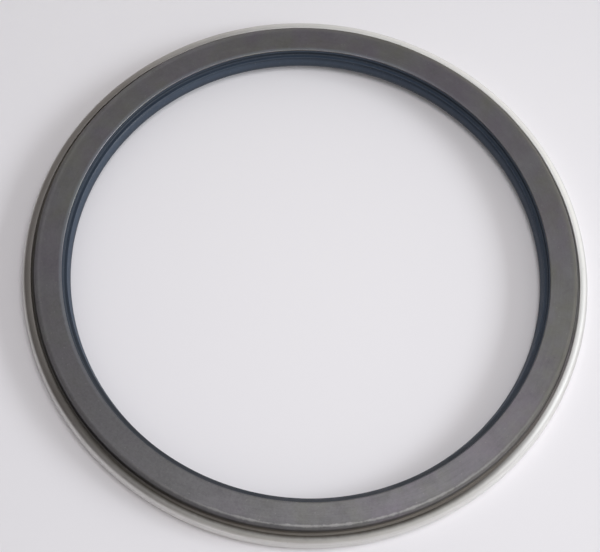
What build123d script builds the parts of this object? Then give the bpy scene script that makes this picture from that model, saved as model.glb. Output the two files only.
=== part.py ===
from build123d import *
import os
from math import cos, radians, tan

# Radial shaft seal in a two-part steel case. Millimetres.
# +Z is the seal's axis and points to the air side. The oil side stands on z = 0.

# Overall sizes: the shaft, the radial height from the shaft to the housing bore, and the width
shaft_diameter = 260.0
radial_section = 25.0
seal_width = 16.0

# Cover ring: the inner case, one stepped pressing of sheet steel. Bends are inside radii.
cover_sheet = 1.5
cover_bore_gap = 3.5
cover_bore_edge_radius = 0.5
cover_corner_bend = 1.0
shoulder_root_bend = 0.6

# Outer case: one deep-drawn ring, its rim rolled in over the shoulder of the cover
case_sheet = 1.5
case_fit_clearance = 0.05
ledge_depth = 5.4
ledge_width = 4.7
rim_gap = 1.7
rim_flat = 0.5
rim_edge_radius = 0.4
lead_in_length = 2.5
lead_in_angle = 23.0
lead_in_bend = 1.5
foot_bend = 0.9
web_clearance = 5.4
web_edge_radius = 0.4

# Sealing element: main lip
lip_interference = 1.2
lip_depth = 9.9
lip_land = 0.6
oil_flank_angle = 44.0
nose_length = 3.8
nose_width = 2.6
nose_edge_radius = 0.6
air_flank_angle = 28.0
flank_blend_radius = 3.0

# Sealing element: the groove that holds the garter spring
spring_coil_diameter = 3.5
spring_clearance = 0.05
spring_offset = 0.7
lip_head_thickness = 3.3
groove_mouth_angle = 65.0
groove_mouth_radius = 0.2
groove_lobe_thickness = 0.8
groove_lobe_radius = 0.3

# Sealing element: flex section, bond pad and bore lining
flex_thickness = 2.4
waist_radius = 0.8
heel_radius = 2.0
bond_thickness = 1.5
bond_inset = 3.1
bond_edge_radius = 0.5
lining_thickness = 0.6
lining_drop = 0.9
lining_edge_radius = 0.2

# Sealing element: dust lip
dust_lip_gap = 0.5
dust_lip_depth = 3.0
dust_lip_edge = 0.5
dust_lip_rise_angle = 14.0
dust_lip_root_thickness = 1.2
dust_lip_tip_radius = 0.2
dust_lip_valley_radius = 0.8
throat_width = 1.9
throat_rise = 1.3
throat_radius = 0.8

# Radii and levels that more than one piece uses
shaft = shaft_diameter / 2
outside = shaft + radial_section
rim_bore = outside - ledge_width
rim_bend = ledge_width - rim_flat - case_sheet
cover_bore = shaft + cover_bore_gap
cover_wall = rim_bore - rim_gap
ledge = seal_width - ledge_depth
shoulder = ledge - case_sheet
web_underside = seal_width - cover_sheet

lip = shaft - lip_interference
lip_level = seal_width - lip_depth
land_foot = lip_level - lip_land / 2
nose_level = land_foot - nose_length
nose = lip + nose_length * tan(radians(oil_flank_angle))
nose_back = nose + nose_width

groove_radius = spring_coil_diameter / 2 + spring_clearance
spring_centre = lip + lip_head_thickness + groove_radius
spring_level = lip_level + spring_offset


def in_section(outline):
    """Place (radius, height) pairs in the half plane that a ring is spun from."""
    return [(radius, 0, height) for radius, height in outline]


def sheet_ring(route, bend_radii, sheet):
    """Spin a sheet of even thickness. The route is its outer skin, and the sheet lies to the right of it."""
    skin = FilletPolyline(in_section(route), radius=bend_radii)
    return revolve(make_face(offset(skin, amount=sheet, side=Side.RIGHT)), Axis.Z)


def round_edge(ring, radius, level, edge_radius):
    """Round the circular edge of a ring that runs through one radius and one level."""
    circles = ring.edges().filter_by(GeomType.CIRCLE)
    return fillet(circles.sort_by_distance((radius, 0, level))[0], edge_radius)


def cover_ring():
    """Web, rounded corner, wall, shoulder nested in the rim's bend, and a skirt down to the case's taper."""
    skirt = outside - case_sheet - case_fit_clearance
    skirt_foot = lead_in_length + (lead_in_bend + case_sheet) * tan(radians(lead_in_angle / 2))
    route = [
        (cover_bore, seal_width),
        (cover_wall, seal_width),
        (cover_wall, shoulder),
        (skirt, shoulder),
        (skirt, skirt_foot),
    ]
    bends = [cover_corner_bend + cover_sheet, shoulder_root_bend, rim_bend]
    ring = sheet_ring(route, bends, cover_sheet)
    return round_edge(ring, cover_bore, seal_width, cover_bore_edge_radius)


def outer_case():
    """Rolled rim, ground outside, tapered lead-in, and a web that guards the lip on the oil side."""
    web_bore = nose_back + web_clearance
    foot = outside - lead_in_length * tan(radians(lead_in_angle))
    route = [
        (rim_bore, ledge),
        (outside, ledge),
        (outside, lead_in_length),
        (foot, 0),
        (web_bore, 0),
    ]
    bends = [rim_bend + case_sheet, lead_in_bend + case_sheet, foot_bend + case_sheet]
    ring = sheet_ring(route, bends, case_sheet)
    ring = round_edge(ring, rim_bore, ledge, rim_edge_radius)
    return round_edge(ring, web_bore, 0, web_edge_radius)


def spring_groove():
    """The round section of the groove, open outwards through the back of the lip's head."""
    return Plane.XZ * Pos(spring_centre, spring_level) * Circle(groove_radius)


def sealing_element():
    """One moulding: nose, main lip, air-side flank, dust lip, bore lining, bond pad, flex section, head."""
    lining = cover_bore - lining_thickness
    lining_top = seal_width - lining_drop
    dust_tip = shaft + dust_lip_gap
    dust_top = seal_width - dust_lip_depth
    valley = dust_top - (lining - dust_tip) * tan(radians(dust_lip_rise_angle))
    throat = dust_tip + throat_width
    throat_level = valley - dust_lip_root_thickness

    land_top = lip_level + lip_land / 2
    flank_top = throat_level - throat_rise
    flank_end = lip + (flank_top - land_top) * tan(radians(air_flank_angle))

    pad_outside = cover_wall - cover_sheet - bond_inset
    pad_underside = web_underside - bond_thickness
    head_back = spring_centre + groove_radius * cos(radians(groove_mouth_angle))
    head_top = spring_level + groove_radius + groove_lobe_thickness

    corners = [
        ((nose, nose_level), nose_edge_radius),
        ((lip, land_foot), 0),
        ((lip, land_top), 0),
        ((flank_end, flank_top), flank_blend_radius),
        ((throat, throat_level), throat_radius),
        ((dust_tip, dust_top - dust_lip_edge), dust_lip_tip_radius),
        ((dust_tip, dust_top), dust_lip_tip_radius),
        ((lining, valley), dust_lip_valley_radius),
        ((lining, lining_top), lining_edge_radius),
        ((cover_bore, lining_top), 0),
        ((cover_bore, web_underside), 0),
        ((pad_outside, web_underside), 0),
        ((pad_outside, pad_underside), bond_edge_radius),
        ((throat + flex_thickness, pad_underside), heel_radius),
        ((flank_end + flex_thickness, head_top), waist_radius),
        ((head_back, head_top), groove_lobe_radius),
        ((head_back, spring_level), 0),
        ((nose_back, nose_level), nose_edge_radius),
    ]
    outline = in_section([point for point, _ in corners])
    radii = [radius for _, radius in corners]
    section = make_face(FilletPolyline(outline, radius=radii, close=True)) - spring_groove()
    mouth = section.vertices().sort_by_distance((spring_centre, 0, spring_level))[:2]
    return revolve(fillet(mouth, groove_mouth_radius), Axis.Z)


def garter_spring():
    """The close-wound coil closed to a ring, as the envelope of its turns."""
    return Pos(0, 0, spring_level) * Torus(spring_centre, spring_coil_diameter / 2)


pieces = {
    "cover_ring": cover_ring(),
    "outer_case": outer_case(),
    "sealing_element": sealing_element(),
    "garter_spring": garter_spring(),
}
os.makedirs("parts", exist_ok=True)
for node, piece in pieces.items():
    export_step(piece, f"parts/{node}.step")
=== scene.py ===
from math import atan2, ceil, cos, pi, radians, sin, tan

import bmesh
import bpy
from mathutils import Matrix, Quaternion, Vector, noise


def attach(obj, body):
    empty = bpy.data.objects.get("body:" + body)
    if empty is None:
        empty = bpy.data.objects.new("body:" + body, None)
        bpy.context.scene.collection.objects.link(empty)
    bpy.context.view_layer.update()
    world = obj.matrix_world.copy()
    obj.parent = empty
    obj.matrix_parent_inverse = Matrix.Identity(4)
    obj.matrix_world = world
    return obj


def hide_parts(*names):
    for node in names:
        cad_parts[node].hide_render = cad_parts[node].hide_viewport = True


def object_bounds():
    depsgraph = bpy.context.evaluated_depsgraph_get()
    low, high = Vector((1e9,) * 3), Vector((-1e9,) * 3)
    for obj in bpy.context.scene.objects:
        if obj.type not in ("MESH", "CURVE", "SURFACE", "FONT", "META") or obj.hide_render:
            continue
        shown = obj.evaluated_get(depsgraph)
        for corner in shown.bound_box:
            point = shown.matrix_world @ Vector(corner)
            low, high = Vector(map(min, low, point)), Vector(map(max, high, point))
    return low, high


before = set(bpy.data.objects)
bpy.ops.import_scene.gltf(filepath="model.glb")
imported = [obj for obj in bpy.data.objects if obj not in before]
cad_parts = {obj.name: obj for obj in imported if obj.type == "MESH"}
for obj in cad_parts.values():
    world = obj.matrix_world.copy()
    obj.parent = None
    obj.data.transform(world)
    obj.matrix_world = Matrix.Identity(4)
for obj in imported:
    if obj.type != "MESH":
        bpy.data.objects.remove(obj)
solids_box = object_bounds()

# A radial shaft seal, air side up: cover ring, outer case, sealing element and garter spring.
# Meshes are in metres. Sizes below are in millimetres, as on the drawing of a seal.
MM = 0.001

# Overall sizes. The outside radius and the width are those of the solids.
OUTSIDE = solids_box[1].x / MM
WIDTH = solids_box[1].z / MM
RADIAL_SECTION = 25.0
SHAFT = OUTSIDE - RADIAL_SECTION

# The sheet steel of both rings. Bends below are radii on a sheet's outer skin.
SHEET = 1.5

# Cover ring: one stepped pressing
COVER_BORE_GAP = 3.5
COVER_BORE_EDGE = 0.5
COVER_CORNER_BEND = 2.5
ROOT_BEND = 0.6
CASE_CLEARANCE = 0.05

# Outer case: one drawn ring, its rim rolled in over the shoulder of the cover
LEDGE_DEPTH = 5.4
LEDGE_WIDTH = 4.7
RIM_GAP = 1.7
RIM_FLAT = 0.5
RIM_EDGE = 0.4
LEAD_IN_LENGTH = 2.5
LEAD_IN_ANGLE = radians(23)
LEAD_IN_BEND = 3.0
FOOT_BEND = 2.4
WEB_CLEARANCE = 5.4

# Sealing element: main lip
LIP_INTERFERENCE = 1.2
LIP_DEPTH = 9.9
LIP_LAND = 0.6
OIL_FLANK_ANGLE = radians(44)
AIR_FLANK_ANGLE = radians(28)
FLANK_BLEND = 3.0
NOSE_LENGTH = 3.8
NOSE_WIDTH = 2.6
NOSE_EDGE = 0.6

# Sealing element: the groove that holds the garter spring
COIL_DIAMETER = 3.5
COIL_CLEARANCE = 0.05
COIL_OFFSET = 0.7
LIP_HEAD = 3.3
GROOVE_MOUTH_ANGLE = radians(65)
GROOVE_MOUTH_EDGE = 0.2
GROOVE_LOBE = 0.8
GROOVE_LOBE_EDGE = 0.3

# Sealing element: flex section, bond pad and bore lining
FLEX = 2.4
WAIST_BEND = 0.8
HEEL_BEND = 2.0
BOND = 1.5
BOND_INSET = 3.1
BOND_EDGE = 0.5
LINING = 0.6
LINING_DROP = 0.9
LINING_EDGE = 0.2

# Sealing element: dust lip, the valley above it and the throat below it
DUST_LIP_GAP = 0.5
DUST_LIP_DEPTH = 3.0
DUST_LIP_LAND = 0.5
DUST_LIP_EDGE = 0.2
DUST_LIP_RISE = radians(14)
DUST_LIP_ROOT = 1.2
VALLEY_BEND = 0.8
THROAT_WIDTH = 1.9
THROAT_RISE = 1.3
THROAT_BEND = 0.8

# Garter spring: a close-wound coil closed to a ring
WIRE_DIAMETER = 0.65
POINTS_PER_TURN = 8
JOINT_LENGTH = 7.0
JOINT_TAPER = 0.12

# Radii and levels that more than one piece uses
COVER_BORE = SHAFT + COVER_BORE_GAP
RIM_BORE = OUTSIDE - LEDGE_WIDTH
RIM_BEND = LEDGE_WIDTH - RIM_FLAT
COVER_WALL = RIM_BORE - RIM_GAP
LIP = SHAFT - LIP_INTERFERENCE
LIP_LEVEL = WIDTH - LIP_DEPTH
LEDGE = WIDTH - LEDGE_DEPTH
SHOULDER = LEDGE - SHEET
COIL_RADIUS = COIL_DIAMETER / 2
GROOVE = COIL_RADIUS + COIL_CLEARANCE
COIL_RING = LIP + LIP_HEAD + GROOVE
COIL_LEVEL = LIP_LEVEL + COIL_OFFSET
NOSE_LEVEL = LIP_LEVEL - LIP_LAND / 2 - NOSE_LENGTH
NOSE_BACK = LIP + NOSE_LENGTH * tan(OIL_FLANK_ANGLE) + NOSE_WIDTH

# Uneven forming: how often round the ring, and how far, the rolled rim and the rubber lips wander
RIM_WAVES = 9.0
RIM_WANDER = 0.16
LIP_WAVES = 6.0
LIP_WANDER = 0.10

# Meshing: steps round the ring, the turn of one step in a bend and in the groove, the longest straight
# run, how round the wire is, and the angle from which an edge stays sharp
RING_STEPS = 288
BEND_STEP = radians(9)
GROOVE_STEP = radians(12)
LONGEST_RUN = 0.9
WIRE_ROUNDING = 1
SHARP_ANGLE = radians(40)

# Where the shared effects begin and end: noise levels of streaks and patches, and reach of a dot
NOISE_MIDDLE = 0.5
STREAK_LOW, STREAK_HIGH = 0.25, 0.75
PATCH_LOW, PATCH_HIGH = 0.2, 0.8
DOT_RIM, DOT_CORE = 0.32, 0.12

# How metallic clean steel is, where nothing lies on it
CLEAN_METAL = 0.9

# Colours of the coat on the cover, the case steel, the rubber, the spring, what lies on them, and painted
# shade, light and highlights
COAT_DARK = (0.132, 0.129, 0.134, 1)
COAT_LIGHT = (0.156, 0.153, 0.159, 1)
COAT_OLIVE = (0.142, 0.143, 0.114, 1)
COAT_PLUM = (0.147, 0.124, 0.155, 1)
# Smudges, and also the painted shade on one side of the face
COAT_SMUDGE_AND_SHADE = (0.095, 0.093, 0.096, 1)
COAT_PALE = (0.210, 0.206, 0.212, 1)
COAT_CORNER = (0.105, 0.100, 0.084, 1)
# Bare steel, also a painted highlight on the cover's corner
BARE_STEEL_HIGHLIGHT = (0.42, 0.41, 0.40, 1)
# Painted highlight on the edge of the bore
BORE_HIGHLIGHT = (0.30, 0.34, 0.39, 1)
CASE_DARK = (0.44, 0.43, 0.415, 1)
CASE_LIGHT = (0.84, 0.83, 0.80, 1)
CASE_OIL = (0.42, 0.40, 0.37, 1)
CASE_PALE = (0.92, 0.91, 0.89, 1)
CASE_GREY = (0.58, 0.575, 0.56, 1)
# Painted shade on the rim's side away from the window
CASE_SHADE = (0.20, 0.18, 0.165, 1)
RUBBER_DARK = (0.020, 0.033, 0.055, 1)
RUBBER_LIGHT = (0.029, 0.047, 0.079, 1)
RUBBER_BLOOM = (0.049, 0.070, 0.104, 1)
RUBBER_DEEP = (0.013, 0.017, 0.022, 1)
# Painted shade on the near side of the rubber
RUBBER_NEAR_SHADE = (0.026, 0.026, 0.029, 1)
WIRE_STEEL = (0.55, 0.54, 0.52, 1)
# Painted shade in the groove by the rim
GROOVE_SHADE = (0.060, 0.052, 0.042, 1)
# Painted light in the groove by the rim
GROOVE_LIGHT = (0.225, 0.200, 0.170, 1)
DUST = (0.34, 0.33, 0.31, 1)

# Table, in metres. Rays shorter than the contact length pass through it.
FLOOR_RADIUS = 4.0
FLOOR_SIDES = 96
FLOOR_GAP = 0.00002
CONTACT = 0.001
TABLE_COOL = (0.84, 0.82, 0.845, 1)
TABLE_WARM = (0.85, 0.83, 0.845, 1)

# Room: where its pale side stands, and over which spans its walls and ceiling fade into each other
PALE_AZIMUTH = radians(20)
PALE_ELEVATION = radians(10)
WALL_FADE = (-0.95, 0.35)
CEILING_FADE = (0.1, 0.95)
ROOM_DIM = (0.11, 0.10, 0.10, 1)
ROOM_PALE = (1.0, 0.965, 0.935, 1)
ROOM_CEILING = (0.34, 0.34, 0.35, 1)

# Camera: a long lens aimed at a point on the cover's face. Focal length and sensor are in millimetres,
# distances in metres.
CAMERA_LENS = 180
CAMERA_SENSOR = 36
CAMERA_NEAR = 0.05
CAMERA_FAR = 50
CAMERA_DISTANCE = 1.635
CAMERA_AZIMUTH = radians(-90)
CAMERA_ELEVATION = radians(67.22)
CAMERA_ROLL = radians(6.73)
CAMERA_AIM = Vector((-0.0033, -0.0046, WIDTH * MM))


# ---------------------------------------------------------------- sections and rings

def unit(start, end):
    """Direction from one (radius, height) point to another."""
    return (Vector(end) - Vector(start)).normalized()


def right_of(direction):
    """Direction turned a quarter to the right."""
    return Vector((direction.y, -direction.x))


def sheet_outline(route, bends, sheet):
    """Close a sheet's outer skin, which has the bends, into its section. The sheet lies to its right."""
    runs = [unit(a, b) for a, b in zip(route, route[1:])]
    before = [runs[0]] + runs
    after = runs + [runs[-1]]
    outer = []
    inner = []
    for point, bend, a, b in zip(route, [0] + bends + [0], before, after):
        sideways = (right_of(a) + right_of(b)) / (1 + right_of(a).dot(right_of(b)))
        inner_bend = bend - sheet if a.cross(b) < 0 else bend + sheet
        outer.append((point, bend))
        inner.append((tuple(Vector(point) + sideways * sheet), inner_bend if bend else 0))
    return outer + inner[::-1]


def round_corner(bm, corner, radius):
    """Round one corner of a flat section by an arc of the given radius."""
    a, b = [(edge.other_vert(corner).co - corner.co).normalized() for edge in corner.link_edges]
    turn = pi - a.angle(b)
    bmesh.ops.bevel(
        bm, geom=[corner], affect="VERTICES", offset_type="OFFSET", offset=radius * tan(turn / 2),
        segments=max(2, ceil(turn / BEND_STEP)), profile=0.5, material=-1,
    )


def spin_section(bm, outline):
    """Draw a section, round its corners, split its long runs and spin it once round the axis."""
    corners = [bm.verts.new((radius * MM, 0, height * MM)) for (radius, height), _ in outline]
    bm.faces.new(corners)
    for corner, (_, radius) in zip(corners, outline):
        if radius:
            round_corner(bm, corner, radius * MM)
    bmesh.ops.delete(bm, geom=bm.faces[:], context="FACES_ONLY")
    for edge in bm.edges[:]:
        cuts = int(edge.calc_length() / (LONGEST_RUN * MM))
        if cuts:
            bmesh.ops.subdivide_edges(bm, edges=[edge], cuts=cuts)
    bmesh.ops.spin(
        bm, geom=bm.verts[:] + bm.edges[:], cent=(0, 0, 0), axis=(0, 0, 1),
        angle=2 * pi, steps=RING_STEPS, use_merge=True,
    )
    bmesh.ops.recalc_face_normals(bm, faces=bm.faces[:])


def mesh_from(bm, name):
    """Turn a worked shape into a mesh and free the shape."""
    mesh = bpy.data.meshes.new(name)
    bm.to_mesh(mesh)
    bm.free()
    return mesh


def add_object(name, data):
    """Put a mesh, curve, lamp or camera in the scene."""
    added = bpy.data.objects.new(name, data)
    bpy.context.scene.collection.objects.link(added)
    return added


def finished_piece(name, mesh, node, material):
    """Add a mesh as the piece that stands for one solid, with its finish."""
    piece = add_object(name, mesh)
    mesh.materials.append(material)
    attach(piece, "root")
    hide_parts(node)


def ring_piece(name, outline, node, material, waver=None):
    """Make a spun ring, let it waver a little as formed metal and rubber do, and finish it."""
    bm = bmesh.new()
    spin_section(bm, outline)
    if waver:
        for vertex in bm.verts:
            waver(vertex)
    mesh = mesh_from(bm, name)
    mesh.shade_smooth()
    mesh.set_sharp_from_angle(angle=SHARP_ANGLE)
    finished_piece(name, mesh, node, material)


# ---------------------------------------------------------------- the four pieces

def cover_outline():
    """Web, rounded corner, short wall, shoulder, and a skirt that ends where the case tapers."""
    skirt = OUTSIDE - SHEET - CASE_CLEARANCE
    skirt_foot = LEAD_IN_LENGTH + LEAD_IN_BEND * tan(LEAD_IN_ANGLE / 2)
    route = [
        (COVER_BORE, WIDTH),
        (COVER_WALL, WIDTH),
        (COVER_WALL, SHOULDER),
        (skirt, SHOULDER),
        (skirt, skirt_foot),
    ]
    outline = sheet_outline(route, [COVER_CORNER_BEND, ROOT_BEND, RIM_BEND - SHEET], SHEET)
    outline[0] = (route[0], COVER_BORE_EDGE)
    return outline


def case_outline():
    """Rolled rim, ground outside, tapered lead-in and oil-side web."""
    web_bore = NOSE_BACK + WEB_CLEARANCE
    foot = OUTSIDE - LEAD_IN_LENGTH * tan(LEAD_IN_ANGLE)
    route = [
        (RIM_BORE, LEDGE),
        (OUTSIDE, LEDGE),
        (OUTSIDE, LEAD_IN_LENGTH),
        (foot, 0),
        (web_bore, 0),
    ]
    outline = sheet_outline(route, [RIM_BEND, LEAD_IN_BEND, FOOT_BEND], SHEET)
    outline[0] = (route[0], RIM_EDGE)
    outline[len(route) - 1] = (route[-1], RIM_EDGE)
    return outline


def element_outline():
    """Nose, main lip, air-side flank, dust lip, bore lining, bond pad, flex section and head."""
    lining = COVER_BORE - LINING
    lining_top = WIDTH - LINING_DROP
    dust_tip = SHAFT + DUST_LIP_GAP
    dust_top = WIDTH - DUST_LIP_DEPTH
    valley = dust_top - (lining - dust_tip) * tan(DUST_LIP_RISE)
    throat = dust_tip + THROAT_WIDTH
    throat_level = valley - DUST_LIP_ROOT
    land_foot = LIP_LEVEL - LIP_LAND / 2
    land_top = LIP_LEVEL + LIP_LAND / 2
    flank_top = throat_level - THROAT_RISE
    flank_end = LIP + (flank_top - land_top) * tan(AIR_FLANK_ANGLE)
    pad_outside = COVER_WALL - SHEET - BOND_INSET
    pad_top = WIDTH - SHEET
    pad_foot = pad_top - BOND
    head_back = COIL_RING + GROOVE * cos(GROOVE_MOUTH_ANGLE)
    head_top = COIL_LEVEL + GROOVE + GROOVE_LOBE
    return [
        ((NOSE_BACK - NOSE_WIDTH, NOSE_LEVEL), NOSE_EDGE),
        ((LIP, land_foot), 0),
        ((LIP, land_top), 0),
        ((flank_end, flank_top), FLANK_BLEND),
        ((throat, throat_level), THROAT_BEND),
        ((dust_tip, dust_top - DUST_LIP_LAND), DUST_LIP_EDGE),
        ((dust_tip, dust_top), DUST_LIP_EDGE),
        ((lining, valley), VALLEY_BEND),
        ((lining, lining_top), LINING_EDGE),
        ((COVER_BORE, lining_top), 0),
        ((COVER_BORE, pad_top), 0),
        ((pad_outside, pad_top), 0),
        ((pad_outside, pad_foot), BOND_EDGE),
        ((throat + FLEX, pad_foot), HEEL_BEND),
        ((flank_end + FLEX, head_top), WAIST_BEND),
        ((head_back, head_top), GROOVE_LOBE_EDGE),
        *groove_outline(head_back),
        ((NOSE_BACK, NOSE_LEVEL), NOSE_EDGE),
    ]


def groove_outline(head_back):
    """The round groove that holds the spring, from its upper mouth round to its lower mouth."""
    centre = Vector((COIL_RING, COIL_LEVEL))
    down = unit((head_back, COIL_LEVEL), (NOSE_BACK, NOSE_LEVEL))
    inset = Vector((head_back, COIL_LEVEL)) - centre
    drop = -inset.dot(down) + (inset.dot(down) ** 2 + GROOVE ** 2 - inset.length_squared) ** 0.5
    lower_mouth = inset + down * drop
    start = GROOVE_MOUTH_ANGLE
    end = 2 * pi + atan2(lower_mouth.y, lower_mouth.x)
    steps = int((end - start) / GROOVE_STEP)
    outline = []
    for step in range(steps + 1):
        angle = start + (end - start) * step / steps
        point = centre + Vector((cos(angle), sin(angle))) * GROOVE
        outline.append((tuple(point), GROOVE_MOUTH_EDGE if step in (0, steps) else 0))
    return outline


def wandering(vertex, waves, seed):
    """A smooth value between -1 and 1 that changes slowly round the ring and closes on itself."""
    around = atan2(vertex.co.y, vertex.co.x)
    return noise.noise(Vector((cos(around), sin(around), seed)) * waves)


def rolled_waver(vertex):
    """The rolled-in rim doesn't end in a true circle: its edge wanders a little in and out."""
    out = vertex.co.xy.length
    share = min(1, (OUTSIDE * MM - out) / (LEDGE_WIDTH * MM))
    if vertex.co.z > SHOULDER * MM and share > 0:
        shift = wandering(vertex, RIM_WAVES, seed=1) * RIM_WANDER * MM * share
        vertex.co.xy *= 1 + shift / out


def moulded_waver(vertex):
    """Free rubber lips stand a little uneven, the more the further they reach inwards."""
    reach = (COVER_BORE * MM - vertex.co.xy.length) / ((COVER_BORE - LIP) * MM)
    if reach > 0:
        vertex.co.z += wandering(vertex, LIP_WAVES, seed=2) * LIP_WANDER * MM * reach


def garter_coil(name, material):
    """Wind the spring's wire round a ring and close it. One short stretch is narrower at the joint."""
    turns = round(2 * pi * COIL_RING / WIRE_DIAMETER)
    count = turns * POINTS_PER_TURN
    curve = bpy.data.curves.new(name, "CURVE")
    curve.dimensions = "3D"
    curve.bevel_depth = WIRE_DIAMETER / 2 * MM
    curve.bevel_resolution = WIRE_ROUNDING
    wire = curve.splines.new("POLY")
    wire.points.add(count - 1)
    wire.use_cyclic_u = True
    for index, point in enumerate(wire.points):
        along = 2 * pi * index / count
        winding = 2 * pi * index / POINTS_PER_TURN
        from_joint = abs(along - pi) * COIL_RING / JOINT_LENGTH
        narrow = JOINT_TAPER * max(0, 1 - from_joint)
        reach = (COIL_RADIUS - WIRE_DIAMETER / 2) * (1 - narrow)
        radius = COIL_RING + reach * cos(winding)
        point.co = (
            radius * cos(along) * MM,
            radius * sin(along) * MM,
            (COIL_LEVEL + reach * sin(winding)) * MM,
            1,
        )
    holder = add_object(name + "_wire", curve)
    mesh = bpy.data.meshes.new_from_object(holder.evaluated_get(bpy.context.evaluated_depsgraph_get()))
    mesh.name = name
    bpy.data.objects.remove(holder)
    bpy.data.curves.remove(curve)
    mesh.shade_smooth()
    finished_piece(name, mesh, "garter_spring", material)


# ---------------------------------------------------------------- node trees

def feed(tree, socket, value):
    """Link an input to a socket, or set it to a plain value."""
    if isinstance(value, bpy.types.NodeSocket):
        tree.links.new(value, socket)
    else:
        socket.default_value = value


def place(tree, kind, feeds=(), **settings):
    """Add a node with its settings, and feed its inputs."""
    made = tree.nodes.new(kind)
    for name, value in settings.items():
        setattr(made, name, value)
    for name, value in dict(feeds).items():
        feed(tree, made.inputs[name], value)
    return made


def maths(tree, operation, *values):
    """One step of arithmetic on sockets and numbers."""
    return place(tree, "ShaderNodeMath", enumerate(values), operation=operation).outputs[0]


def between(tree, value, low, high, out_low=0.0, out_high=1.0):
    """Map a value from one span to another with soft ends."""
    feeds = {"Value": value, "From Min": low, "From Max": high, "To Min": out_low, "To Max": out_high}
    return place(tree, "ShaderNodeMapRange", feeds, interpolation_type="SMOOTHSTEP").outputs["Result"]


def blend_colour(tree, share, one, other):
    """Mix two colours by a mask. A mix node has its colours in inputs 6 and 7, and in output 2."""
    return place(tree, "ShaderNodeMix", {0: share, 6: one, 7: other}, data_type="RGBA").outputs[2]


def use(tree, group, **feeds):
    """Place an effect in a tree and return its outputs. Underscores in a feed's name stand for spaces."""
    inputs = {name.replace("_", " ").title(): value for name, value in feeds.items()}
    return place(tree, "ShaderNodeGroup", node_tree=group, feeds=inputs).outputs


def start_effect(name, inputs, outputs):
    """Start a node group with named inputs and outputs, and return it with its two end nodes."""
    tree = bpy.data.node_groups.new(name, "ShaderNodeTree")
    for socket, default in inputs.items():
        kind = "NodeSocketVector" if default is None else "NodeSocketFloat"
        made = tree.interface.new_socket(socket, in_out="INPUT", socket_type=kind)
        if default is not None:
            made.default_value = default
    for socket in outputs:
        tree.interface.new_socket(socket, in_out="OUTPUT", socket_type="NodeSocketFloat")
    return tree, tree.nodes.new("NodeGroupInput").outputs, tree.nodes.new("NodeGroupOutput").inputs


def ring_place_effect():
    """Where a point lies on the ring: radius and height in millimetres, and its direction from the axis."""
    outputs = ["Radius", "Height", "East", "North"]
    tree, given, result = start_effect("ring_place", {"Position": None}, outputs)
    parts = place(tree, "ShaderNodeSeparateXYZ", {0: given["Position"]}).outputs
    flat = place(tree, "ShaderNodeCombineXYZ", {0: parts[0], 1: parts[1]}).outputs[0]
    length = place(tree, "ShaderNodeVectorMath", {0: flat}, operation="LENGTH").outputs["Value"]
    tree.links.new(maths(tree, "DIVIDE", length, MM), result["Radius"])
    tree.links.new(maths(tree, "DIVIDE", parts[2], MM), result["Height"])
    tree.links.new(maths(tree, "DIVIDE", parts[0], length), result["East"])
    tree.links.new(maths(tree, "DIVIDE", parts[1], length), result["North"])
    return tree


def turned_marks_effect(ring_place):
    """Fine streaks that run round the ring, as from turning, drawing or a mould cut on a lathe."""
    inputs = {"Position": None, "Spacing": 0.5, "Shortness": 6.0}
    tree, given, result = start_effect("turned_marks", inputs, ["Marks"])
    spot = use(tree, ring_place, position=given["Position"])
    east = maths(tree, "MULTIPLY", spot["East"], given["Shortness"])
    north = maths(tree, "MULTIPLY", spot["North"], given["Shortness"])
    out = maths(tree, "DIVIDE", spot["Radius"], given["Spacing"])
    up = maths(tree, "DIVIDE", spot["Height"], given["Spacing"])
    vector = place(tree, "ShaderNodeCombineXYZ", {0: east, 1: north, 2: out}).outputs[0]
    feeds = {"Vector": vector, "W": up, "Scale": 1.0, "Detail": 3.0, "Roughness": 0.65}
    streaks = place(tree, "ShaderNodeTexNoise", feeds, noise_dimensions="4D").outputs["Fac"]
    tree.links.new(between(tree, streaks, STREAK_LOW, STREAK_HIGH), result["Marks"])
    return tree


def stain_effect():
    """Soft-edged patches of an irregular shape."""
    inputs = {"Position": None, "Size": 20.0, "Cover": 0.5, "Softness": 0.15, "Seed": 0.0}
    tree, given, result = start_effect("stain", inputs, ["Mask"])
    scale = maths(tree, "DIVIDE", 1 / MM, given["Size"])
    feeds = {
        "Vector": given["Position"], "W": given["Seed"], "Scale": scale,
        "Detail": 5.0, "Roughness": 0.6, "Distortion": 0.4,
    }
    cloud = place(tree, "ShaderNodeTexNoise", feeds, noise_dimensions="4D").outputs["Fac"]
    middle = between(tree, given["Cover"], 0.0, 1.0, PATCH_HIGH, PATCH_LOW)
    low = maths(tree, "SUBTRACT", middle, given["Softness"])
    high = maths(tree, "ADD", middle, given["Softness"])
    tree.links.new(between(tree, cloud, low, high), result["Mask"])
    return tree


def edge_band_effect(ring_place):
    """A mask round one circle of the ring, broken up along its length: wear on an edge, painted shade in a
    corner.
    """
    inputs = {"Position": None, "Radius": 150.0, "Height": 10.0, "Reach": 1.0, "Break Up": 0.5}
    tree, given, result = start_effect("edge_band", inputs, ["Mask"])
    spot = use(tree, ring_place, position=given["Position"])
    out = maths(tree, "SUBTRACT", spot["Radius"], given["Radius"])
    up = maths(tree, "SUBTRACT", spot["Height"], given["Height"])
    square = maths(tree, "ADD", maths(tree, "MULTIPLY", out, out), maths(tree, "MULTIPLY", up, up))
    distance = maths(tree, "DIVIDE", maths(tree, "SQRT", square), given["Reach"])
    feeds = {"Vector": given["Position"], "Scale": 220.0, "Detail": 6.0, "Roughness": 0.7}
    ragged = place(tree, "ShaderNodeTexNoise", feeds).outputs["Fac"]
    swing = maths(tree, "MULTIPLY", maths(tree, "SUBTRACT", ragged, NOISE_MIDDLE), given["Break Up"])
    tree.links.new(between(tree, maths(tree, "ADD", distance, swing), 1.0, 0.0), result["Mask"])
    return tree


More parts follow.
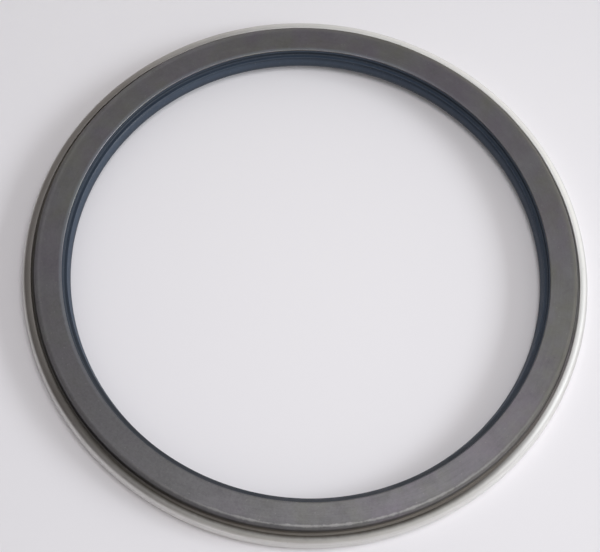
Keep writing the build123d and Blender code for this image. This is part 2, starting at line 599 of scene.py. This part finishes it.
def sector_effect(ring_place):
    """One stretch of the ring, given by the azimuth of its middle and its half width in degrees."""
    inputs = {"Position": None, "Azimuth": 270.0, "Half Width": 60.0, "Softness": 20.0}
    tree, given, result = start_effect("sector", inputs, ["Mask"])
    spot = use(tree, ring_place, position=given["Position"])
    middle = maths(tree, "RADIANS", given["Azimuth"])
    east = maths(tree, "MULTIPLY", spot["East"], maths(tree, "COSINE", middle))
    north = maths(tree, "MULTIPLY", spot["North"], maths(tree, "SINE", middle))
    away = maths(tree, "DEGREES", maths(tree, "ARCCOSINE", maths(tree, "ADD", east, north)))
    low = maths(tree, "SUBTRACT", given["Half Width"], given["Softness"])
    high = maths(tree, "ADD", given["Half Width"], given["Softness"])
    tree.links.new(between(tree, away, low, high, out_low=1.0, out_high=0.0), result["Mask"])
    return tree


def speck_effect():
    """Small separate dots: pits, dust and splashes."""
    inputs = {"Position": None, "Size": 1.0, "Amount": 0.3}
    tree, given, result = start_effect("specks", inputs, ["Mask"])
    scale = maths(tree, "DIVIDE", 1 / MM, given["Size"])
    cells = place(tree, "ShaderNodeTexVoronoi", {"Vector": given["Position"], "Scale": scale})
    dot = between(tree, cells.outputs["Distance"], DOT_RIM, DOT_CORE)
    chosen = place(tree, "ShaderNodeSeparateColor", {0: cells.outputs["Color"]}).outputs[0]
    kept = maths(tree, "LESS_THAN", chosen, given["Amount"])
    tree.links.new(maths(tree, "MULTIPLY", dot, kept), result["Mask"])
    return tree


def shared_effects():
    """The node groups that the finishes share, by name."""
    ring_place = ring_place_effect()
    return {
        "ring_place": ring_place,
        "turned_marks": turned_marks_effect(ring_place),
        "stain": stain_effect(),
        "edge_band": edge_band_effect(ring_place),
        "sector": sector_effect(ring_place),
        "specks": speck_effect(),
    }


# ---------------------------------------------------------------- finishes

class Finish:
    """A material while it is made. Its effects follow the place of each point on the piece."""

    def __init__(self, name, effects):
        self.material = bpy.data.materials.new(name)
        self.material.use_nodes = True
        self.tree = self.material.node_tree
        self.shader = self.tree.nodes["Principled BSDF"]
        self.position = place(self.tree, "ShaderNodeTexCoord").outputs["Object"]
        self.effects = effects

    def radius(self):
        """How far each point lies from the axis, in millimetres."""
        return use(self.tree, self.effects["ring_place"], position=self.position)["Radius"]

    def read(self, effect, **feeds):
        """The mask or the marks that a shared effect puts out."""
        return use(self.tree, self.effects[effect], position=self.position, **feeds)[0]

    def band(self, radius, height, reach, break_up):
        """A mask round the circle at one radius and height, in millimetres."""
        return self.read("edge_band", radius=radius, height=height, reach=reach, break_up=break_up)

    def within(self, mask, azimuth, half_width, softness):
        """Keep a mask on one stretch of the ring only, given in degrees."""
        stretch = self.read("sector", azimuth=azimuth, half_width=half_width, softness=softness)
        return maths(self.tree, "MULTIPLY", mask, stretch)

    def layered(self, colour, layers):
        """Lay colours over a first one. Each layer has its mask, its share of the mask and its colour."""
        for mask, share, layer in layers:
            colour = blend_colour(self.tree, maths(self.tree, "MULTIPLY", mask, share), colour, layer)
        return colour

    def adjusted(self, value, changes):
        """Change a value where masks lie. Each change has its mask and its full amount."""
        for mask, amount in changes:
            value = maths(self.tree, "ADD", value, maths(self.tree, "MULTIPLY", mask, amount))
        return value

    def ranging(self, mask, without, under):
        """A value that goes from one number, without the mask, to another under it."""
        return between(self.tree, mask, 0.0, 1.0, without, under)

    def dress(self, feeds):
        """Feed the shader's inputs, by their names."""
        for name, value in feeds.items():
            feed(self.tree, self.shader.inputs[name], value)

    def emboss(self, height, depth):
        """Raise the surface where the height is full, by a depth in millimetres."""
        bump = place(self.tree, "ShaderNodeBump", {"Height": height, "Distance": depth * MM})
        self.dress({"Normal": bump.outputs["Normal"]})


def coated_steel(effects):
    """Dark phosphate coat on drawn sheet: turned marks, stains, worn edges, painted highlights, painted
    shade on one side, and painted shade and light down by the ledge.
    """
    finish = Finish("coated_steel", effects)
    tree = finish.tree
    marks = finish.read("turned_marks", spacing=0.7, shortness=11.0)
    olive = finish.read("stain", size=22.0, cover=0.45, seed=1.0)
    plum = finish.read("stain", size=30.0, cover=0.45, seed=2.0)
    smudge = finish.read("stain", size=9.0, cover=0.4, seed=3.0)
    pale = finish.read("stain", size=14.0, cover=0.4, softness=0.25, seed=4.0)
    grain = finish.read("stain", size=1.3, cover=0.5, softness=0.3, seed=7.0)
    # Painted shade: the face is darkened on its near-left stretch, where less light falls.
    painted_shade_side = finish.read("sector", azimuth=236.0, half_width=45.0, softness=42.0)
    dust = finish.read("specks", size=1.6, amount=0.08)

    # The rounded corner is dull all round and olive on one side, and a broken line on it is worn bare and
    # painted lighter, a painted highlight where the corner catches the light.
    # The edge of the bore is painted lighter and bluish on the far side, a painted highlight where it
    # catches the window's light.
    corner = finish.band(radius=COVER_WALL - 1.0, height=WIDTH - 0.8, reach=3.0, break_up=0.5)
    olive_corner = finish.within(corner, azimuth=25.0, half_width=80.0, softness=35.0)
    worn_line_and_highlight = finish.band(radius=COVER_WALL - 1.7, height=WIDTH - 0.2, reach=0.95, break_up=2.6)
    worn_line_and_highlight = finish.within(worn_line_and_highlight, azimuth=285.0, half_width=35.0, softness=27.0)
    painted_bore_highlight = finish.band(radius=COVER_BORE + 0.9, height=WIDTH, reach=1.3, break_up=0.6)
    painted_bore_highlight = finish.within(painted_bore_highlight, azimuth=140.0, half_width=75.0, softness=25.0)

    # In the groove by the rim: painted shade on the stretch away from the window, and painted light on two
    # stretches where the groove is lit
    painted_groove_shade = finish.band(radius=COVER_WALL + 1.4, height=SHOULDER, reach=2.2, break_up=0.7)
    painted_groove_shade = finish.within(painted_groove_shade, azimuth=208.0, half_width=48.0, softness=30.0)
    painted_groove_light = finish.band(radius=COVER_WALL + 0.6, height=SHOULDER + 0.6, reach=3.2, break_up=0.6)
    near_groove_light = finish.within(painted_groove_light, azimuth=290.0, half_width=45.0, softness=25.0)
    far_groove_light = finish.within(painted_groove_light, azimuth=136.0, half_width=34.0, softness=18.0)
    painted_groove_light = maths(tree, "MAXIMUM", near_groove_light, far_groove_light)
    painted_groove = maths(tree, "MAXIMUM", painted_groove_shade, painted_groove_light)

    colour = finish.layered(COAT_DARK, [
        (marks, 1.0, COAT_LIGHT),
        (olive, 0.85, COAT_OLIVE),
        (plum, 0.75, COAT_PLUM),
        (pale, 0.38, COAT_PALE),
        (smudge, 0.42, COAT_SMUDGE_AND_SHADE),
        (painted_shade_side, 0.8, COAT_SMUDGE_AND_SHADE),
        (grain, 0.28, COAT_PALE),
        (olive_corner, 0.8, COAT_CORNER),
        (painted_bore_highlight, 0.3, BORE_HIGHLIGHT),
        (worn_line_and_highlight, 0.55, BARE_STEEL_HIGHLIGHT),
        (dust, 0.2, DUST),
        (painted_groove_shade, 1.0, GROOVE_SHADE),
        (painted_groove_light, 1.0, GROOVE_LIGHT),
    ])
    roughness = finish.adjusted(finish.ranging(marks, without=0.46, under=0.36), [
        (smudge, 0.07),
        (plum, -0.03),
        (worn_line_and_highlight, -0.1),
        (painted_groove, 0.25),
        (corner, 0.22),
    ])
    bare = finish.adjusted(CLEAN_METAL, [(corner, -0.8)])
    finish.dress({
        "Base Color": colour,
        "Roughness": roughness,
        "Metallic": finish.ranging(painted_groove, without=bare, under=0.1),
        "Specular IOR Level": finish.ranging(corner, without=0.5, under=0.15),
    })
    finish.emboss(finish.adjusted(marks, [(grain, 0.8)]), depth=0.012)
    return finish.material


def ground_steel(effects):
    """Case steel: bright ground wall, oil stains, painted shade, light and reflection on rim, wall and
    lead-in, and a darker near stretch of rim.
    """
    finish = Finish("ground_steel", effects)
    tree = finish.tree
    marks = finish.read("turned_marks", spacing=0.5, shortness=6.0)
    grooves = finish.read("turned_marks", spacing=1.7, shortness=9.0)
    oil = finish.read("stain", size=26.0, cover=0.45, seed=5.0)
    pale = finish.read("stain", size=15.0, cover=0.4, seed=6.0)
    dust = finish.read("specks", size=1.3, amount=0.08)
    # Painted shade by the cover: the rim is darkened next to the groove on its near stretch.
    painted_groove_shade = finish.band(radius=RIM_BORE + 0.5, height=LEDGE - 0.2, reach=3.0, break_up=0.3)
    painted_groove_shade = finish.within(painted_groove_shade, azimuth=268.0, half_width=56.0, softness=25.0)
    # Painted light: the lead-in is paler, which lifts the shade where the case meets the table.
    painted_light_lead_in = finish.band(radius=OUTSIDE - 0.6, height=LEAD_IN_LENGTH / 2, reach=2.4, break_up=0.2)

    # The outside wall and the rim differ, and so do stretches of each
    wall = between(tree, finish.radius(), low=OUTSIDE - 1.4, high=OUTSIDE - 0.2)
    rim = maths(tree, "SUBTRACT", 1.0, wall)
    # Painted reflection: the near-right stretch of the wall is paler, as if it mirrored the bright table.
    painted_reflection_wall = finish.within(wall, azimuth=315.0, half_width=28.0, softness=18.0)
    # Painted shade: the rim is darkened on the side that lies in the cover's shadow.
    painted_shade_rim = finish.within(rim, azimuth=180.0, half_width=58.0, softness=24.0)
    # The near stretch of the rim is darker.
    near_rim_darker = finish.within(rim, azimuth=282.0, half_width=36.0, softness=18.0)
    # Painted light: the rim is made lighter on the far-right stretch, where the light falls.
    painted_light_rim = finish.within(rim, azimuth=52.0, half_width=42.0, softness=22.0)
    # Painted shade: the window side is greyer, which tones down its highlights.
    window_side_shade = finish.read("sector", azimuth=15.0, half_width=92.0, softness=28.0)
    clean = maths(tree, "MAXIMUM", window_side_shade, wall)

    colour = finish.layered(CASE_LIGHT, [
        (oil, 0.5, CASE_OIL),
        (pale, 0.35, CASE_PALE),
        (wall, 0.85, CASE_PALE),
        (window_side_shade, 0.85, CASE_GREY),
        (painted_reflection_wall, 0.85, CASE_PALE),
        (marks, 0.45, CASE_DARK),
        (grooves, 0.3, CASE_DARK),
        (painted_light_rim, 0.85, CASE_LIGHT),
        (painted_light_lead_in, 0.8, CASE_PALE),
        (near_rim_darker, 0.4, CASE_OIL),
        (painted_shade_rim, 0.85, CASE_SHADE),
        (dust, 0.3, DUST),
        (painted_groove_shade, 1.0, GROOVE_SHADE),
    ])
    roughness = finish.adjusted(finish.ranging(marks, without=0.5, under=0.38), [(painted_groove_shade, 0.3), (clean, 0.1)])
    bare = finish.adjusted(CLEAN_METAL, [(clean, -0.3)])
    finish.dress({
        "Base Color": colour,
        "Roughness": roughness,
        "Metallic": finish.ranging(painted_groove_shade, without=bare, under=0.2),
    })
    finish.emboss(maths(tree, "ADD", marks, grooves), depth=0.012)
    return finish.material


def blue_rubber(effects):
    """Satin blue nitrile rubber: fine lathe lines of its mould, bloom, painted shade in the valley and on
    the near side, and a darker lip edge.
    """
    finish = Finish("blue_rubber", effects)
    tree = finish.tree
    marks = finish.read("turned_marks", spacing=0.28, shortness=2.5)
    bloom = finish.read("stain", size=18.0, cover=0.45, seed=8.0)
    dust = finish.read("specks", size=0.9, amount=0.12)
    # Painted shade: the valley under the bore lining is darkened.
    valley = finish.band(radius=COVER_BORE - 0.9, height=WIDTH - 2.2, reach=2.6, break_up=0.3)
    # The lip edge is darker.
    lip_edge_dark = finish.band(radius=LIP, height=LIP_LEVEL, reach=3.0, break_up=0.3)
    # Painted shade: the near side of the rubber is darker and greyer, where the window's cool light doesn't
    # reach.
    near_side_shade = finish.band(radius=COVER_BORE - 1.5, height=WIDTH - 2.5, reach=4.0, break_up=0.3)
    near_side_shade = finish.within(near_side_shade, azimuth=268.0, half_width=62.0, softness=28.0)
    painted_valley_shade = maths(tree, "MULTIPLY", valley, 0.65)
    darker_lip_edge = maths(tree, "MULTIPLY", lip_edge_dark, 0.5)
    colour = finish.layered(RUBBER_DARK, [
        (marks, 1.0, RUBBER_LIGHT),
        (bloom, 0.35, RUBBER_BLOOM),
        (dust, 0.25, DUST),
        (maths(tree, "MAXIMUM", painted_valley_shade, darker_lip_edge), 1.0, RUBBER_DEEP),
        (near_side_shade, 0.8, RUBBER_NEAR_SHADE),
    ])
    finish.dress({
        "Base Color": colour,
        "Roughness": finish.adjusted(finish.ranging(bloom, without=0.42, under=0.56), [(valley, 0.25)]),
    })
    finish.emboss(marks, depth=0.02)
    return finish.material


def spring_wire(effects):
    """Bright drawn wire, dulled in patches by old grease."""
    finish = Finish("spring_wire", effects)
    grease = finish.read("stain", size=9.0, cover=0.4, seed=9.0)
    finish.dress({
        "Base Color": finish.layered(WIRE_STEEL, [(grease, 0.6, CASE_OIL)]),
        "Roughness": finish.ranging(grease, without=0.26, under=0.5),
        "Metallic": 1.0,
    })
    finish.emboss(grease, depth=0.004)
    return finish.material


# ---------------------------------------------------------------- stage

def pale_floor(effects):
    """A plain pale table, clear from below, and clear to what rests on it, so that the underside is lit."""
    bm = bmesh.new()
    bmesh.ops.create_circle(bm, cap_ends=True, segments=FLOOR_SIDES, radius=FLOOR_RADIUS)
    bmesh.ops.translate(bm, verts=bm.verts[:], vec=(0, 0, -FLOOR_GAP))
    floor = add_object("floor", mesh_from(bm, "floor"))
    finish = Finish("table_top", effects)
    tree = finish.tree
    cloud = finish.read("stain", size=320.0, cover=0.5, softness=0.3)
    finish.dress({
        "Base Color": blend_colour(tree, cloud, TABLE_COOL, TABLE_WARM),
        "Roughness": 0.75,
        "Specular IOR Level": 0.2,
    })
    clear = place(tree, "ShaderNodeBsdfTransparent").outputs[0]
    behind = place(tree, "ShaderNodeNewGeometry").outputs["Backfacing"]
    ray_length = place(tree, "ShaderNodeLightPath").outputs["Ray Length"]
    resting = maths(tree, "LESS_THAN", ray_length, CONTACT)
    unseen = maths(tree, "MAXIMUM", behind, resting)
    seen = place(tree, "ShaderNodeMixShader", {0: unseen, 1: finish.shader.outputs[0], 2: clear})
    tree.links.new(seen.outputs[0], tree.nodes["Material Output"].inputs["Surface"])
    floor.data.materials.append(finish.material)


def towards(azimuth, elevation):
    """Unit vector to a place seen from the seal: azimuth from +X towards +Y, elevation from the table."""
    return Vector((cos(azimuth) * cos(elevation), sin(azimuth) * cos(elevation), sin(elevation)))


def soft_lamp(name, azimuth, elevation, distance, width, height, power, colour, aim=(0, 0, 0), spread=180):
    """A soft box aimed at a point on the table. Angles are in degrees, and a grid narrows its spread."""
    lamp = bpy.data.lights.new(name, "AREA")
    lamp.shape = "RECTANGLE"
    lamp.size = width
    lamp.size_y = height
    lamp.energy = power
    lamp.color = colour
    lamp.spread = radians(spread)
    stand = add_object(name, lamp)
    direction = towards(radians(azimuth), radians(elevation))
    stand.location = Vector(aim) + direction * distance
    stand.rotation_euler = direction.to_track_quat("Z", "Y").to_euler()


def room_light():
    """A plain room: pale walls on the window's side, dim walls on the other, and a grey ceiling."""
    world = bpy.data.worlds.new("room")
    bpy.context.scene.world = world
    world.use_nodes = True
    tree = world.node_tree
    view = place(tree, "ShaderNodeTexCoord").outputs["Generated"]
    side = towards(PALE_AZIMUTH, PALE_ELEVATION)
    facing = place(tree, "ShaderNodeVectorMath", {0: view, 1: side}, operation="DOT_PRODUCT")
    share = between(tree, facing.outputs["Value"], *WALL_FADE)
    walls = blend_colour(tree, share, ROOM_DIM, ROOM_PALE)
    height = place(tree, "ShaderNodeSeparateXYZ", {0: view}).outputs[2]
    room = blend_colour(tree, between(tree, height, *CEILING_FADE), walls, ROOM_CEILING)
    tree.links.new(room, tree.nodes["Background"].inputs["Color"])


def add_camera():
    """Look down on the seal from its near side, with the camera a little tilted."""
    lens = bpy.data.cameras.new("camera")
    lens.lens = CAMERA_LENS
    lens.sensor_width = CAMERA_SENSOR
    lens.clip_start = CAMERA_NEAR
    lens.clip_end = CAMERA_FAR
    camera = add_object("camera", lens)
    away = towards(CAMERA_AZIMUTH, CAMERA_ELEVATION)
    camera.location = CAMERA_AIM + away * CAMERA_DISTANCE
    upright = away.to_track_quat("Z", "Y")
    camera.rotation_euler = (upright @ Quaternion((0, 0, 1), CAMERA_ROLL)).to_euler()
    bpy.context.scene.camera = camera


# ---------------------------------------------------------------- the scene

shared = shared_effects()
ring_piece("pressed_cover", cover_outline(), "cover_ring", coated_steel(shared))
ring_piece("rolled_case", case_outline(), "outer_case", ground_steel(shared), rolled_waver)
ring_piece("moulded_lips", element_outline(), "sealing_element", blue_rubber(shared),
           moulded_waver)
garter_coil("wound_spring", spring_wire(shared))

pale_floor(shared)
room_light()
soft_lamp("window", azimuth=3, elevation=29, distance=4.4, width=2.6, height=1.2, power=105,
          colour=(0.91, 0.955, 1))
soft_lamp("ceiling", azimuth=0, elevation=88, distance=1.1, width=0.45, height=0.45, power=0.44,
          colour=(1, 0.99, 1), aim=(0.08, -0.05, 0), spread=60)
add_camera()

bpy.context.scene.view_settings.view_transform = "Standard"
